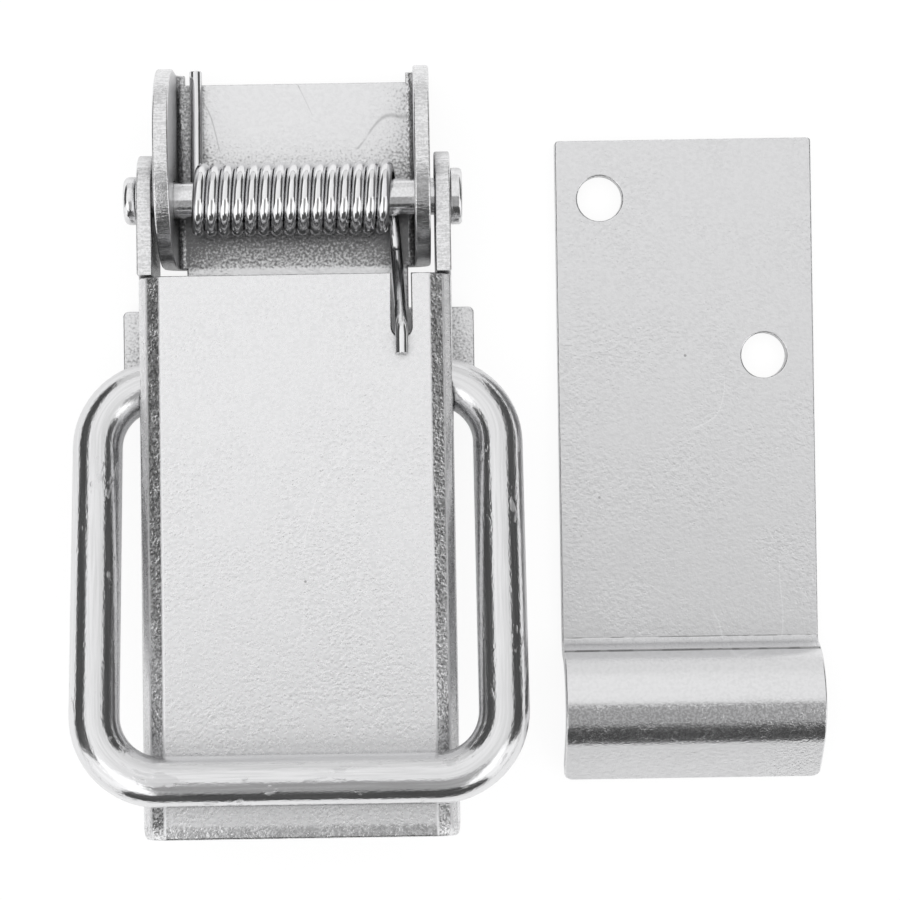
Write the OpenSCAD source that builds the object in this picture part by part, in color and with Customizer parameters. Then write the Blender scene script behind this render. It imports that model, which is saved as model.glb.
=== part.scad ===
// Over-centre toggle latch for a trailer, pressed from zinc-plated steel sheet, with a wire bail,
// a torsion spring that closes the lever, and the rolled catch plate that the bail hooks over.
// X runs across the latch, Y along it and Z up from the surface that it is bolted to. The origin
// is midway between the two fixing holes of the base, on its underside. At rest the lever is down
// and the bail is folded back on top of it. The catch plate lies beside the latch.

/* [Sheet] */
// Thickness of the steel sheet
sheet_t = 2.2; // [1.6:0.1:2.6]
// Inner radius of the bends along the base and the lever
bend_r = 1; // [0.6:0.1:1.4]

/* [Base plate] */
// Diameter of the two fixing holes
base_hole_d = 6.5; // [4.5:0.1:8]
// Distance between the fixing holes, centre to centre
base_hole_gap = 18; // [14:0.5:20]
// Length by which each tab at the foot of the base passes the lever's side
tab_past = 3.35; // [2:0.05:6]
// Length of the tabs along the base
tab_l = 12.2; // [10:0.1:14]
// Corner radius of the tabs
tab_corner_r = 0.8; // [0.4:0.1:2]
// Fixing holes to the end of the base under the lever
base_foot = 11.1; // [9:0.1:14]
// Pivot to the far edge of the base plate
base_head = 17.3; // [16:0.1:20]
// Pivot to the end of the ears over the lever's side
ear_near = 9.4; // [8.6:0.1:9.8]
// Pivot to the far end of the ears
ear_far = 18.7; // [17:0.1:21]
// Height of the ears above the mounting face
ear_h = 19.2; // [18.4:0.1:19.4]
// Corner radius of the ears over the lever's side
ear_near_r = 14; // [12:0.1:15]
// Corner radius at the far end of the ears
ear_far_r = 11; // [8:0.1:12]

/* [Pivot rivet] */
// Diameter of the rivet's shank
rivet_d = 5.2; // [4:0.1:6]
// Radial clearance of the shank in the ears and the lever
rivet_clear = 0.05; // [0.02:0.01:0.1]
// Height of the pivot above the mounting face
pivot_z = 9.2; // [9:0.1:9.6]
// Distance from the fixing holes to the pivot
pivot_y = 16.4; // [15.5:0.1:18]
// Diameter of the made head
head_d = 8; // [7:0.1:9]
// Thickness of the made head
head_t = 1.6; // [1.2:0.1:2.1]
// Gap between the made head and the lever
head_gap = 0.1; // [0.05:0.01:0.2]
// Diameter of the peened head
peen_d = 6.8; // [6.2:0.1:8]
// Thickness of the peened head
peen_t = 1.7; // [1.2:0.1:1.8]
// Gap between the peened head and the lever
peen_gap = 0.4; // [0.2:0.05:0.5]

/* [Lever] */
// Width of the lever over its flanges
lever_w = 44; // [43:0.1:44.4]
// Pivot to the free end of the lever
lever_l = 89.75; // [84:0.25:100]
// Depth of the lever's flanges
flange_h = 13; // [12.6:0.1:13.6]
// Height of the lever's top face above the pivot
web_rise = 5.45; // [5.3:0.05:5.8]
// Pivot to the edge of the web above the spring
web_start = 11.43; // [11.2:0.1:12]
// Clearance between the lever's flanges and the ears of the base
side_gap = 0.6; // [0.3:0.05:0.8]
// Gap at rest between the lever's flanges and the tabs that they come down on
rest_gap = 0.3; // [0.1:0.05:0.6]
// Corner radius at the free end, seen from the side
lever_corner_r = 2; // [1:0.1:4]
// Corner radius at the free end, seen from above
lever_tip_r = 1.2; // [0.5:0.1:2]
// Width of the slot for the spring leg
slot_w = 2.8; // [2.4:0.1:3.2]
// Distance of the slot's middle from the inside of the base's ear
slot_ear_gap = 2.1; // [1.9:0.1:2.5]
// Pivot to the end of the slot
slot_end = 20.4; // [19.5:0.1:22]

/* [Spring] */
// Diameter of the spring wire
spring_wire_d = 1.8; // [1.5:0.05:1.85]
// Outer diameter of the coil
coil_d = 10.5; // [10:0.1:11]
// Least room left between the coil and each ear of the base
coil_room = 3; // [2.9:0.05:4.5]
// Gap between the turns
coil_gap = 0.06; // [0.03:0.01:0.09]
// Distance of the coil's middle from the middle of the base
coil_shift = 0.28; // [0:0.01:0.4]
// Stretch of the lever's leg that runs level before it rises
leg_level_l = 7.4; // [6.5:0.1:8]
// Stretch of the lever's leg that lies on the web
leg_lie_l = 3.4; // [2.5:0.1:5]
// Length by which the other leg passes the edge of the base
leg_past = 1.8; // [1:0.1:3]
// Stretch of the other leg that lies flat, at its end
leg_flat_l = 6; // [4:0.1:8]
// Radius of the bends in the spring's legs, to the middle of the wire
leg_bend_r = 2.2; // [1.6:0.1:3]
// Gap between each leg and the sheet that it bears on
leg_gap = 0.05; // [0.02:0.01:0.2]

/* [Bail] */
// Diameter of the bail wire
bail_wire_d = 7; // [6:0.1:7.2]
// Gap between the lever's side and each arm of the bail
bail_side_gap = 2.7; // [2.6:0.05:5]
// Pivot bar to cross bar, centre to centre
bail_l = 56.3; // [50:0.1:60]
// Centre-line radius of the corners at the cross bar
bail_bend_r = 9.3; // [8:0.1:12]
// Centre-line radius of the corners at the pivot bar
bail_root_r = 9; // [8:0.1:9.2]
// Gap between the two ends of the wire, which butt in the middle of the pivot bar
bail_seam = 0.8; // [0.4:0.1:2]
// Pivot to the bail's pivot bar, along the lever
bail_at = 26.15; // [25.5:0.05:30]
// Depth of the bail's pivot bar below the middle of the lever's flange
bail_low = 0.55; // [0.2:0.05:0.7]
// Radial clearance of the pivot bar in the lever, which lets the bail's corners into the holes
bail_clear = 0.9; // [0.85:0.05:1]
// Gap between the cross bar and the lever that it lies on
bail_gap = 0.2; // [0.1:0.05:0.5]

/* [Catch plate] */
// Width of the catch plate
catch_w = 37; // [30:0.5:45]
// Length of the flat part, up to the fold
catch_flat_l = 72; // [60:0.5:90]
// Diameter of the two fixing holes
catch_hole_d = 6.5; // [4.5:0.1:8]
// First hole to the side edge of the plate
hole_1_side = 6.4; // [5.5:0.1:9]
// First hole to the end edge of the plate
hole_1_end = 8.4; // [6:0.1:12]
// Second hole to the other side edge of the plate
hole_2_side = 7.2; // [5.5:0.1:9]
// Second hole to the end edge of the plate
hole_2_end = 31.4; // [24:0.1:40]
// Inner radius of the fold where the roll rises
fold_r = 0.8; // [0.5:0.1:1.2]
// Outer radius of the roll that the bail hooks over
roll_r = 8.4; // [7.5:0.1:9.5]
// Height of the roll's centre above the mounting face
roll_z = 1.3; // [0.8:0.1:1.8]
// Slope of the flank that runs down from the roll
flank_angle = 46; // [42:1:55]
// Corner radius at the end of the roll
catch_end_r = 1.3; // [0.6:0.1:2.5]
// Corner radius at the flat end
catch_corner_r = 0.5; // [0.3:0.1:1.5]
// Gap between the latch's bail and the catch plate, which lies beside it
catch_gap = 5.7; // [4:0.1:20]
// Distance of the catch plate's flat end from the fixing holes of the base
catch_end_y = 24.8; // [10:0.1:40]

/* [Hidden] */
$fn = 96;
eps = 1;

zinc = [0.78, 0.79, 0.8];
zinc_dark = [0.66, 0.67, 0.69];
spring_steel = [0.86, 0.87, 0.89];

// Widths that follow from the lever, which straddles the base
bend_out = bend_r + sheet_t;
lever_in_w = lever_w - 2 * sheet_t;
base_w = lever_in_w - 2 * side_gap;
base_in_w = base_w - 2 * sheet_t;
neck_w = base_w - 2 * bend_out;
tab_w = lever_w + 2 * tab_past;
tab_near_y = tab_l - base_foot;
slot_x = base_in_w / 2 - slot_ear_gap;

// The closed lever comes down on the tabs of the base, which sets its slope at rest
flange_drop = flange_h - web_rise;
stop_dy = pivot_y - tab_near_y;
stop_dz = pivot_z - sheet_t;
rise = asin((flange_drop + rest_gap) / norm([stop_dy, stop_dz])) - atan2(stop_dz, stop_dy);

// The bail clears the lever's sides, and folded back it slopes up from the lever's top face
bail_w = lever_w + 2 * (bail_side_gap + bail_wire_d);
bail_drop = flange_h / 2 - web_rise + bail_low;
bail_reach = bail_drop + web_rise + bail_wire_d / 2 + bail_gap;
bail_lie = asin(bail_reach / bail_l);
bail_mid_w = bail_w - bail_wire_d;
bail_hole_r = bail_wire_d / 2 + bail_clear;

// Coil of the torsion spring, around the rivet
coil_r = (coil_d - spring_wire_d) / 2;
coil_pitch = spring_wire_d + coil_gap;
coil_turns = floor((base_in_w - 2 * coil_room) / coil_pitch);
coil_x = -coil_shift - coil_turns * coil_pitch / 2;
coil_steps = 16;
wire_sides = 8;
leg_bend_steps = 5;
leg_over = spring_wire_d / 2 + leg_gap;
leg_rest = slot_end - spring_wire_d / 2;
leg_in_x = (slot_x + coil_x + coil_turns * coil_pitch) / 2;

// Fold and roll of the catch plate: two arcs that meet where their tangents agree
fold_mid_r = fold_r + sheet_t / 2;
roll_mid_r = roll_r - sheet_t / 2;
fold_z = sheet_t + fold_r;
roll_lean = asin((fold_z - roll_z) / (fold_mid_r + roll_mid_r));
roll_s = (fold_mid_r + roll_mid_r) * cos(roll_lean);
flank_l = (roll_z + (roll_r - sheet_t) * cos(flank_angle)) / sin(flank_angle);
catch_over = roll_s + roll_r * sin(flank_angle) + flank_l * cos(flank_angle);
catch_x = bail_w / 2 + catch_gap;
trim_share = 0.02;

// A point of the lever, given along it from the pivot and above the pivot, in the rest pose
function lever_pt(x, along, above) = [
    x,
    pivot_y - along * cos(rise) + above * sin(rise),
    pivot_z + along * sin(rise) + above * cos(rise)
];

// A channel's section: a sheet with both sides bent up at the bottom corners
module rounded_foot(w, h, r) {
    translate([-w / 2, r]) square([w, h - r]);
    translate([r - w / 2, 0]) square([w - 2 * r, h]);
    for (side = [-1, 1]) translate([side * (w / 2 - r), r]) circle(r = r);
}

module channel_section(w, h) {
    difference() {
        rounded_foot(w, h, bend_out);
        translate([0, sheet_t]) rounded_foot(w - 2 * sheet_t, h, bend_r);
    }
}

// A flat outline drawn in Y and Z, spread across the part in X
module across(w) {
    rotate([90, 0, 90]) translate([0, 0, -w / 2]) linear_extrude(w) children();
}

// A rectangle with all four corners rounded
module rounded_rect(w, l, r) {
    translate([r, 0]) square([w - 2 * r, l]);
    translate([0, r]) square([w, l - 2 * r]);
    for (x = [r, w - r], y = [r, l - r]) translate([x, y]) circle(r = r);
}

module ear_outline() {
    near = pivot_y - ear_near;
    far = pivot_y + ear_far;
    translate([near, 0]) square([ear_far + ear_near, ear_h - ear_near_r]);
    translate([near + ear_near_r, 0]) square([far - near - ear_near_r, ear_h - ear_far_r]);
    translate([near + ear_near_r, 0]) square([far - near - ear_near_r - ear_far_r, ear_h]);
    intersection() {
        translate([near + ear_near_r, ear_h - ear_near_r]) circle(r = ear_near_r);
        translate([near, 0]) square([ear_near_r, ear_h]);
    }
    intersection() {
        translate([far - ear_far_r, ear_h - ear_far_r]) circle(r = ear_far_r);
        translate([far - ear_far_r, 0]) square([ear_far_r, ear_h]);
    }
}

// The base: a plate with tabs at its foot, folded up into the two ears that hold the rivet
module base_plate() color(zinc) {
    head_y = pivot_y + base_head;
    difference() {
        union() {
            intersection() {
                translate([0, pivot_y + ear_far + eps, 0]) rotate([90, 0, 0])
                    linear_extrude(ear_far + ear_near + 2 * eps) channel_section(base_w, ear_h + eps);
                across(base_w + 2 * eps) ear_outline();
            }
            translate([-neck_w / 2, -base_foot + tab_l / 2, 0])
                cube([neck_w, head_y + base_foot - tab_l / 2, sheet_t]);
            translate([-tab_w / 2, -base_foot, 0])
                linear_extrude(sheet_t) rounded_rect(tab_w, tab_l, tab_corner_r);
        }
        translate([-neck_w / 2, head_y, -eps]) cube([neck_w, ear_far, sheet_t + 2 * eps]);
        for (side = [-1, 1])
            translate([side * base_hole_gap / 2, 0, -eps]) cylinder(d = base_hole_d, h = sheet_t + 2 * eps);
        translate([-base_w / 2 - eps, pivot_y, pivot_z]) rotate([0, 90, 0])
            cylinder(r = rivet_d / 2 + rivet_clear, h = base_w + 2 * eps);
    }
}

// A rivet head: a disc with a rounded rim, standing on the plane z = 0
module rivet_head(d, t, rim_r) {
    rotate_extrude() {
        square([d / 2 - rim_r, t]);
        square([d / 2, t - rim_r]);
        intersection() {
            translate([d / 2 - rim_r, t - rim_r]) circle(r = rim_r);
            square([d / 2, t]);
        }
    }
}

module pivot_rivet() color(zinc_dark) {
    head_x = lever_w / 2 + head_gap;
    peen_x = lever_w / 2 + peen_gap;
    translate([0, pivot_y, pivot_z]) {
        translate([-peen_x - peen_t / 2, 0, 0]) rotate([0, 90, 0])
            cylinder(d = rivet_d, h = head_x + peen_x + (head_t + peen_t) / 2);
        translate([head_x, 0, 0]) rotate([0, 90, 0]) rivet_head(head_d, head_t, head_t / 3);
        translate([-peen_x, 0, 0]) rotate([0, -90, 0]) rivet_head(peen_d, peen_t, peen_t / 2);
    }
}

// Side of the lever's flange: round at the pivot, with a small corner under the free end.
// The outline's X runs along the lever from the pivot, and its Y is height above the pivot.
module flange_outline() {
    half = flange_h / 2;
    translate([0, web_rise - half]) circle(r = half);
    translate([0, -flange_drop]) square([lever_l - lever_corner_r, flange_h]);
    translate([0, lever_corner_r - flange_drop]) square([lever_l, flange_h - lever_corner_r]);
    translate([lever_l - lever_corner_r, lever_corner_r - flange_drop]) circle(r = lever_corner_r);
}

// The lever: a channel whose web stops short of the pivot, so that only its flanges reach it
module lever() color(zinc) {
    flange_x = lever_in_w / 2;
    translate([0, pivot_y, pivot_z]) rotate([-rise, 0, 0]) difference() {
        union() {
            intersection() {
                translate([0, -web_start, web_rise]) rotate([90, 0, 0]) mirror([0, 1])
                    linear_extrude(lever_l - web_start) channel_section(lever_w, flange_h);
                mirror([0, 1]) across(lever_w + 2 * eps) flange_outline();
                translate([-lever_w / 2, -lever_l, -flange_drop - eps]) linear_extrude(flange_h + 2 * eps)
                    rounded_rect(lever_w, lever_l + flange_h, lever_tip_r);
            }
            for (side = [-1, 1]) intersection() {
                translate([side * (flange_x + sheet_t / 2), 0, 0])
                    mirror([0, 1]) across(sheet_t) flange_outline();
                translate([-lever_w / 2 - eps, -web_start - sheet_t, -flange_drop - eps])
                    cube([lever_w + 2 * eps, web_start + sheet_t + flange_h, flange_h + 2 * eps]);
                lever_ear_zone(side, flange_x);
            }
        }
        translate([-lever_w / 2 - eps, 0, 0]) rotate([0, 90, 0])
            cylinder(r = rivet_d / 2 + rivet_clear, h = lever_w + 2 * eps);
        translate([-lever_w / 2 - eps, -bail_at, -bail_drop]) rotate([0, 90, 0])
            cylinder(r = bail_hole_r, h = lever_w + 2 * eps);
        translate([slot_x, 0, 0]) spring_slot();
    }
}

// Where the flat ears of the lever may lie: ahead of the web over their full height,
// and beside the web only below its bends
module lever_ear_zone(side, flange_x) {
    x = side > 0 ? flange_x : -flange_x - sheet_t;
    translate([x, -web_start, -flange_drop]) cube([sheet_t, web_start + flange_h, flange_h]);
    translate([x, -web_start - sheet_t, -flange_drop]) cube([sheet_t, sheet_t, flange_h - bend_out]);
}

module spring_slot() {
    translate([0, 0, web_rise - bend_out]) linear_extrude(bend_out + eps) {
        translate([-slot_w / 2, slot_w / 2 - slot_end]) square([slot_w, slot_end - slot_w / 2]);
        translate([0, slot_w / 2 - slot_end]) circle(d = slot_w);
    }
}

// Points of a bend of radius r that rounds the corner b between the points a and c
function bend_pts(a, b, c, r, steps) = let(
    u = (a - b) / norm(a - b),
    v = (c - b) / norm(c - b),
    half = acos(u * v) / 2,
    mid = b + (u + v) / norm(u + v) * r / sin(half),
    p = b + u * r / tan(half) - mid,
    q = b + v * r / tan(half) - mid,
    sweep = 180 - 2 * half
) [for (i = [0 : steps]) mid + (p * sin(sweep * (1 - i / steps)) + q * sin(sweep * i / steps)) / sin(sweep)];

// Path of the spring wire: the leg on the base, the coil, and the leg through the lever's slot
function coil_pt(i) = let(turn = i / coil_steps) [
    coil_x + coil_pitch * turn,
    pivot_y - coil_r * sin(360 * turn),
    pivot_z - coil_r * cos(360 * turn)
];
base_leg_far = pivot_y + base_head + leg_past;
base_leg_z = sheet_t + leg_over;
base_leg_end = [coil_x, base_leg_far, base_leg_z];
base_leg_knee = [coil_x, base_leg_far - leg_flat_l, base_leg_z];
leg_corner_1 = [leg_in_x, pivot_y - leg_level_l, pivot_z - coil_r];
leg_corner_2 = lever_pt(slot_x, leg_rest, web_rise + leg_over);
leg_tip = lever_pt(slot_x, leg_rest + leg_lie_l, web_rise + leg_over);
spring_path = concat(
    [base_leg_end],
    bend_pts(base_leg_end, base_leg_knee, coil_pt(0), leg_bend_r, leg_bend_steps),
    [for (i = [0 : coil_turns * coil_steps]) coil_pt(i)],
    bend_pts(coil_pt(coil_turns * coil_steps), leg_corner_1, leg_corner_2, leg_bend_r, leg_bend_steps),
    bend_pts(leg_corner_1, leg_corner_2, leg_tip, leg_bend_r, leg_bend_steps),
    [leg_tip]
);

// A round wire along a path. X is nearly square to the whole path, so it sets each ring's turn.
function wire_ring(path, i, r) = let(
    ahead = path[min(i + 1, len(path) - 1)] - path[max(i - 1, 0)],
    t = ahead / norm(ahead),
    side = [1, 0, 0] - t[0] * t,
    u = side / norm(side),
    v = cross(t, u)
) [for (k = [0 : wire_sides - 1]) path[i]
    + r * (cos(360 * k / wire_sides) * u + sin(360 * k / wire_sides) * v)];

module wire(path, r) {
    rings = len(path);
    polyhedron(
        points = [for (i = [0 : rings - 1]) each wire_ring(path, i, r)],
        faces = concat(
            [[for (k = [0 : wire_sides - 1]) k]],
            [for (i = [0 : rings - 2], k = [0 : wire_sides - 1]) let(next = (k + 1) % wire_sides) [
                i * wire_sides + k,
                (i + 1) * wire_sides + k,
                (i + 1) * wire_sides + next,
                i * wire_sides + next
            ]],
            [[for (k = [wire_sides - 1 : -1 : 0]) (rings - 1) * wire_sides + k]]
        )
    );
}

module spring() color(spring_steel) wire(spring_path, spring_wire_d / 2);

// A quarter bend of the bail wire, from the end of a bar along X to the start of an arm along -Y
module bail_corner(r) {
    translate([0, -r, 0]) rotate_extrude(angle = 90) translate([r, 0]) circle(d = bail_wire_d);
}

// Half of the bail: half the pivot bar, a corner, the arm, a corner and half the cross bar
module bail_half() {
    root_x = bail_mid_w / 2 - bail_root_r;
    bend_x = bail_mid_w / 2 - bail_bend_r;
    translate([bail_seam / 2, 0, 0]) rotate([0, 90, 0]) cylinder(d = bail_wire_d, h = root_x - bail_seam / 2);
    translate([root_x, 0, 0]) bail_corner(bail_root_r);
    translate([bail_mid_w / 2, -bail_root_r, 0]) rotate([90, 0, 0])
        cylinder(d = bail_wire_d, h = bail_l - bail_root_r - bail_bend_r);
    translate([bend_x, -bail_l, 0]) mirror([0, 1, 0]) bail_corner(bail_bend_r);
    translate([0, -bail_l, 0]) rotate([0, 90, 0]) cylinder(d = bail_wire_d, h = bend_x);
}

// The bail, folded back over the lever with its cross bar on the lever's top face
module bail() color(zinc) {
    translate(lever_pt(0, bail_at, -bail_drop)) rotate([-rise - bail_lie, 0, 0]) {
        bail_half();
        mirror([1, 0, 0]) bail_half();
    }
}

// A bend of the catch plate's sheet about the X axis, through an angle from straight down
module sheet_bend(w, r_in, angle) {
    rotate([90, 0, 90]) rotate([0, 0, -90]) rotate_extrude(angle = angle)
        translate([r_in, 0]) square([sheet_t, w]);
}

// The folded sheet before it is trimmed, drawn with its flat end at Y = 0 and its roll towards +Y
module catch_blank(w) {
    translate([0, -eps, 0]) cube([w, catch_flat_l + eps, sheet_t]);
    translate([0, catch_flat_l, fold_z]) sheet_bend(w, fold_r, 90 - roll_lean);
    translate([0, catch_flat_l + roll_s, roll_z]) {
        rotate([180 - flank_angle, 0, 0])
            sheet_bend(w, roll_r - sheet_t, 90 - roll_lean + flank_angle);
        rotate([-flank_angle, 0, 0]) translate([0, 0, roll_r - sheet_t]) cube([w, flank_l, sheet_t]);
    }
}

// The plate's outline from above: small corners at the flat end, rounder ones at the roll
module catch_outline() {
    half_l = catch_flat_l / 2;
    rounded_rect(catch_w, catch_flat_l, catch_corner_r);
    translate([0, half_l]) rounded_rect(catch_w, half_l + catch_over + trim_share * catch_end_r, catch_end_r);
}

module catch_plate() color(zinc) {
    translate([catch_x, catch_end_y, 0]) mirror([0, 1, 0]) difference() {
        intersection() {
            translate([-eps, 0, 0]) catch_blank(catch_w + 2 * eps);
            translate([0, 0, -eps]) linear_extrude(roll_z + roll_r + 2 * eps) catch_outline();
        }
        translate([hole_1_side, hole_1_end, -eps]) cylinder(d = catch_hole_d, h = sheet_t + 2 * eps);
        translate([catch_w - hole_2_side, hole_2_end, -eps])
            cylinder(d = catch_hole_d, h = sheet_t + 2 * eps);
    }
}

base_plate();
pivot_rivet();
lever();
spring();
bail();
catch_plate();
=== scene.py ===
"""A zinc-plated toggle latch and its catch plate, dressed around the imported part.

Shapes are worked out in millimetres and turned into metres where a mesh is made. X runs
across the latch, Y along it towards its ears, and Z up from the surface that it lies on.
"""
from math import acos, asin, atan2, cos, floor, hypot, pi, radians, sin, tan

import bmesh
import bpy
from mathutils import Matrix, Vector


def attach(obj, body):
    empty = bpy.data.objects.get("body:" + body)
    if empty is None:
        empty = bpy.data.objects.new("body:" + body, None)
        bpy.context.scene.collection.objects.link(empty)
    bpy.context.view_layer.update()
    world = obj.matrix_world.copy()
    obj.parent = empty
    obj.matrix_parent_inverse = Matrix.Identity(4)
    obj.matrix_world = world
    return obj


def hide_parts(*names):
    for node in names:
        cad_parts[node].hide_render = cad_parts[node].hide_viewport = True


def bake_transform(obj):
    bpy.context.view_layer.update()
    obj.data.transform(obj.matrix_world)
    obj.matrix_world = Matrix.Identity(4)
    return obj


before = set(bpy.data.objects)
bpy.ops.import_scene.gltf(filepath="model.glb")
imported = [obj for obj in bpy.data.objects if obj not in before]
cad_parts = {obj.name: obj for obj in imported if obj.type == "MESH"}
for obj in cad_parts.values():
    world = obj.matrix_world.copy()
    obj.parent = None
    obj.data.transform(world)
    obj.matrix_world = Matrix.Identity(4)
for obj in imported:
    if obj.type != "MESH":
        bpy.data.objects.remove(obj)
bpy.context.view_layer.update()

MM = 0.001
TOLERANCE = 1e-3

# Sheet
SHEET_T = 2.2
BEND_R = 1.0
BEND_OUT = BEND_R + SHEET_T
BEND_L = (BEND_R + SHEET_T / 2) * pi / 2
RIM = 0.28
# A face belongs to the sheet's edge where its normal's Z is less than this
FACE_NORMAL_Z = 0.9

# Lever
LEVER_W = 44.0
LEVER_L = 89.75
FLANGE_H = 13.0
WEB_RISE = 5.45
WEB_START = 11.43
SIDE_GAP = 0.6
REST_GAP = 0.3
LEVER_CORNER_R = 2.0
# The outer face of its pressed bends, as points across and up from the centre of the bend
PRESSED = [(0.0, BEND_OUT), (1.95, 2.25), (3.0, 1.1), (BEND_OUT, 0.0)]
# How far the painted highlight at the web's edge spreads onto the web
BEND_HIGHLIGHT_W = 0.2
ROLL_OVER = 0.35
ROLL_OVER_L = 2.0
ROLL_OVER_END = 0.3
ROLL_OVER_POWER = 2.2
ROLL_OVER_BENT = 0.6
SLOT_W = 2.8
SLOT_EAR_GAP = 2.1
SLOT_END = 20.4
SLIT_W = 0.2

# Base plate
BASE_W = LEVER_W - 2 * SHEET_T - 2 * SIDE_GAP
BASE_HOLE_D = 6.5
BASE_HOLE_GAP = 18.0
TAB_PAST = 3.35
TAB_W = LEVER_W + 2 * TAB_PAST
TAB_L = 12.2
TAB_CORNER_R = 0.8
BASE_FOOT = 11.1
BASE_HEAD = 17.3
EAR_NEAR = 9.4
EAR_FAR = 18.7
EAR_H = 19.2
EAR_NEAR_R = 14.0
EAR_FAR_R = 11.0
NECK_INSET = 0.02
# How far before the coil the shadow painted on the plate starts, and where it is full
SHADE_START = 4.4
SHADE_FULL = 1.8
SHADE_SLACK = 0.1

# Pivot rivet
PIVOT_Y = 16.4
PIVOT_Z = 9.2
RIVET_D = 5.2
RIVET_CLEAR = 0.05
HEAD_D = 8.0
HEAD_T = 1.6
HEAD_GAP = 0.1
PEEN_D = 6.8
PEEN_T = 1.7
PEEN_GAP = 0.4
RIVET_CHAMFER = 0.1

# Spring
SPRING_D = 1.8
COIL_D = 10.5
COIL_ROOM = 3.0
COIL_GAP = 0.06
COIL_SHIFT = 0.28
LEG_LEVEL_L = 7.4
LEG_LIE_L = 3.4
LEG_PAST = 1.8
LEG_FLAT_L = 6.0
LEG_BEND_R = 2.2
LEG_GAP = 0.05
LEG_CHAMFER = 0.12
COIL_STEPS = 28
SPRING_SIDES = 16

# Bail
BAIL_D = 7.0
BAIL_SIDE_GAP = 2.7
BAIL_L = 56.3
BAIL_BEND_R = 9.3
BAIL_ROOT_R = 9.0
BAIL_SEAM = 0.8
BAIL_AT = 26.15
BAIL_LOW = 0.55
BAIL_CLEAR = 0.9
BAIL_GAP = 0.2
BAIL_SIDES = 40

# Catch plate
CATCH_W = 37.0
CATCH_FLAT_L = 72.0
CATCH_HOLE_D = 6.5
HOLE_1 = (6.4, 8.4)
HOLE_2 = (CATCH_W - 7.2, 31.4)
FOLD_R = 0.8
ROLL_R = 8.4
ROLL_Z = 1.3
FLANK_ANGLE = radians(46)
CATCH_END_R = 1.3
CATCH_CORNER_R = 0.5
# Two fine grooves across the plate: one just before the fold, one between two places beyond it
GROOVE_DEPTH = 0.12
GROOVE_1_W = 0.25
GROOVE_2 = (1.8, 2.3)
# How strong the painted shade is in the first groove
GROOVE_1_SHADE = 0.5
CREST_BENT = 0.5
FLANK_DRAWN = 0.3
CATCH_GAP = 5.7
CATCH_END_Y = 24.8

# The closed lever's slope, and the folded bail's slope above it
FLANGE_DROP = FLANGE_H - WEB_RISE
STOP_DY = PIVOT_Y - (TAB_L - BASE_FOOT)
STOP_DZ = PIVOT_Z - SHEET_T
RISE = asin((FLANGE_DROP + REST_GAP) / hypot(STOP_DY, STOP_DZ)) - atan2(STOP_DZ, STOP_DY)
BAIL_DROP = FLANGE_H / 2 - WEB_RISE + BAIL_LOW
BAIL_LIE = asin((BAIL_DROP + WEB_RISE + BAIL_D / 2 + BAIL_GAP) / BAIL_L)
BAIL_W = LEVER_W + 2 * (BAIL_SIDE_GAP + BAIL_D)
PIVOT = Vector((0, PIVOT_Y, PIVOT_Z))


def arc(centre, radius, start, end, steps):
    """Points of an arc in a plane, from one angle in degrees to another."""
    turns = [radians(start + (end - start) * i / steps) for i in range(steps + 1)]
    return [(centre[0] + radius * cos(t), centre[1] + radius * sin(t)) for t in turns]


def circle(centre, diameter, steps=48):
    return arc(centre, diameter / 2, 0, 360, steps)[:-1]


def mirrored(points):
    """The same outline points on the other side of the middle, in the opposite order."""
    return [(-x, y) for x, y in reversed(points)]


def plate(outlines):
    """A flat sheet with rounded edges, from its outer outline and its holes.

    Z is 0 on one face. The faces take the first material and the edges the second.
    """
    curve = bpy.data.curves.new("outline", "CURVE")
    curve.dimensions = "2D"
    curve.fill_mode = "BOTH"
    curve.extrude = SHEET_T / 2 - RIM
    curve.bevel_depth = RIM
    curve.bevel_resolution = 2
    curve.offset = -RIM
    for points in outlines:
        spline = curve.splines.new("POLY")
        spline.points.add(len(points) - 1)
        for point, (x, y) in zip(spline.points, points):
            point.co = (x, y, 0, 1)
        spline.use_cyclic_u = True
    holder = bpy.data.objects.new("outline", curve)
    bpy.context.scene.collection.objects.link(holder)
    graph = bpy.context.evaluated_depsgraph_get()
    mesh = bpy.data.meshes.new_from_object(holder.evaluated_get(graph))
    bm = bmesh.new()
    bm.from_mesh(mesh)
    bpy.data.objects.remove(holder)
    bpy.data.curves.remove(curve)
    bpy.data.meshes.remove(mesh)
    bmesh.ops.remove_doubles(bm, verts=bm.verts, dist=TOLERANCE)
    bmesh.ops.dissolve_limit(bm, angle_limit=1e-3, verts=bm.verts, edges=bm.edges)
    bmesh.ops.translate(bm, verts=bm.verts, vec=(0, 0, SHEET_T / 2))
    bmesh.ops.recalc_face_normals(bm, faces=bm.faces)
    for face in bm.faces:
        face.material_index = int(abs(face.normal.z) < FACE_NORMAL_Z)
    return bm


def cut(bm, axis, places):
    """Edges across the sheet at these places along an axis, so that it can bend there."""
    normal = Vector((0, 0, 0))
    normal[axis] = 1
    for place in places:
        geometry = bm.verts[:] + bm.edges[:] + bm.faces[:]
        bmesh.ops.bisect_plane(bm, geom=geometry, dist=1e-4, plane_co=normal * place, plane_no=normal)


def steps_between(start, end, count):
    return [start + (end - start) * i / count for i in range(count + 1)]


def mark(bm, name, share):
    """Keep something about each point of the flat sheet, from 0 to 1, for its material."""
    layer = bm.verts.layers.float.new(name)
    for vert in bm.verts:
        vert[layer] = share(*vert.co)


def inside(value, low, high):
    return float(low + TOLERANCE < value < high - TOLERANCE)


def close_to(value, place):
    return float(abs(value - place) < TOLERANCE)


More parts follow.
